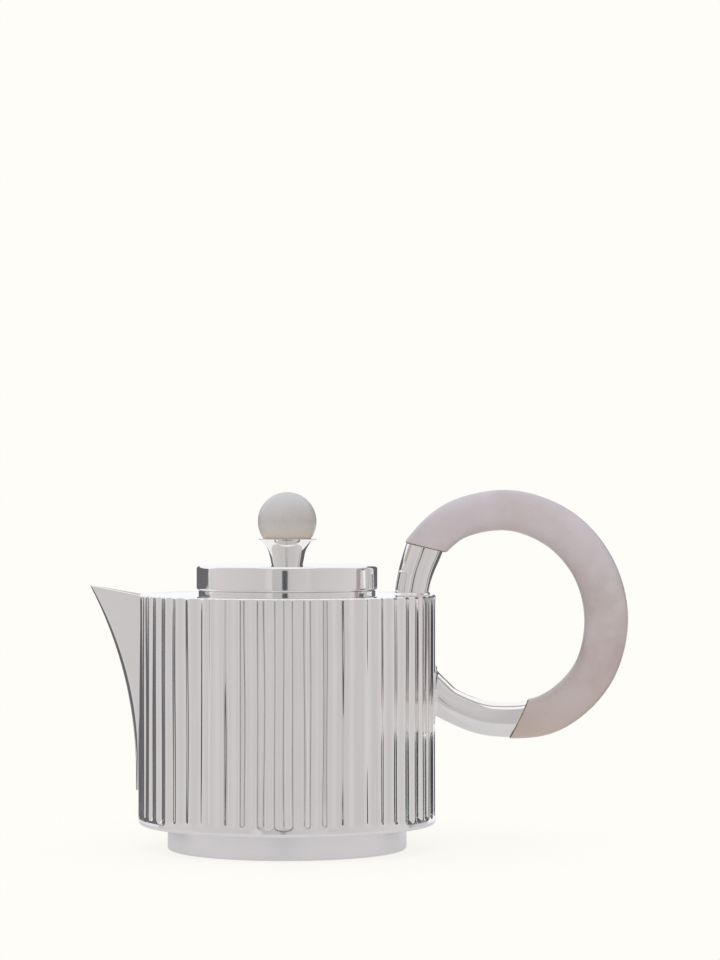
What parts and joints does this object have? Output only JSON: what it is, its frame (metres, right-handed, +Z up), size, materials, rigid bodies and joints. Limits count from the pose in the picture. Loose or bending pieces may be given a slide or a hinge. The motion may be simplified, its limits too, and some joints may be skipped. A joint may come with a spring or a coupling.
{
  "type": "teapot",
  "caption": "Round fluted silver teapot on a plain foot, with a prow-shaped spout, a lift-off lid with a stone ball knob, and a ring handle of silver and pale stone.",
  "frame": {"origin": "on the body's axis, at the middle of the foot's flat underside", "axes": "+Z up along the body's axis, +X from the body to the handle, so the spout points along -X"},
  "size_m": [0.2029, 0.112, 0.1351],
  "materials": {
    "silver": "polished",
    "satin_silver": "satin",
    "pink_stone": "satin",
    "pale_stone": "satin",
    "bond": "matte"
  },
  "bodies": {
    "pot": {"base_tray": "silver", "body_wall": "silver", "foot_plate": "satin_silver", "foot_ring": "satin_silver", "handle_grip": "pink_stone", "handle_lower_arm": "silver", "handle_lower_dowel": "satin_silver", "handle_lower_seam": "bond", "handle_upper_arm": "silver", "handle_upper_dowel": "satin_silver", "handle_upper_seam": "bond", "mouth_collar": "silver", "spout_shell": "silver", "top_plate": "silver"},
    "lid": {"knob_ball": "pale_stone", "knob_cup": "silver", "knob_nut": "satin_silver", "knob_stud": "satin_silver", "knob_washer": "satin_silver", "lid_bezel": "satin_silver", "lid_cap": "silver", "lid_underplate": "satin_silver"}
  },
  "joints": [
    {"name": "lid_lift", "type": "slide", "parent": "pot", "child": "lid", "axis": [0, 0, 1], "range_m": [0, 0.08]}
  ]
}
